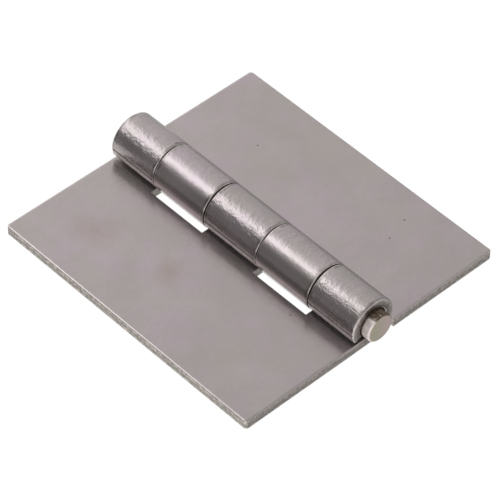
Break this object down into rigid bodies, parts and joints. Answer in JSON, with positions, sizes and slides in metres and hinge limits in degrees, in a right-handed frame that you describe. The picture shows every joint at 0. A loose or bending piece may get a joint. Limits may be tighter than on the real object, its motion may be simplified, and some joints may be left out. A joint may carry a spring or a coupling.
{
  "type": "door hinge",
  "caption": "Plain steel weld-on butt hinge: two flat leaves with knuckles rolled from the sheet round a steel pin that stands out at one end.",
  "frame": {"origin": "on the back plane of the leaves, straight under the pin's axis and halfway along the leaves, on the underside of the middle knuckle", "axes": "+Y along the pin, away from its end that stands out; +X across, towards the leaf with two knuckles; +Z out of the back plane, towards the side where the barrel stands proud. The hinge lies open and flat"},
  "size_m": [0.0976, 0.1046, 0.016],
  "materials": {
    "sheet_steel": "bare mill-finish steel with a light film of oil, fine handling scratches and brighter rolled knuckles",
    "pin_steel": "bare drawn steel, cut off square and chamfered"
  },
  "bodies": {
    "near_leaf": {"near_leaf": "sheet_steel", "pin": "pin_steel"},
    "far_leaf": {"far_leaf": "sheet_steel"}
  },
  "joints": [
    {"name": "leaf_swing", "type": "hinge", "parent": "near_leaf", "child": "far_leaf", "pos_m": [0, 0, 0.008], "axis": [0, -1, 0], "range_deg": [-93, 190]}
  ]
}
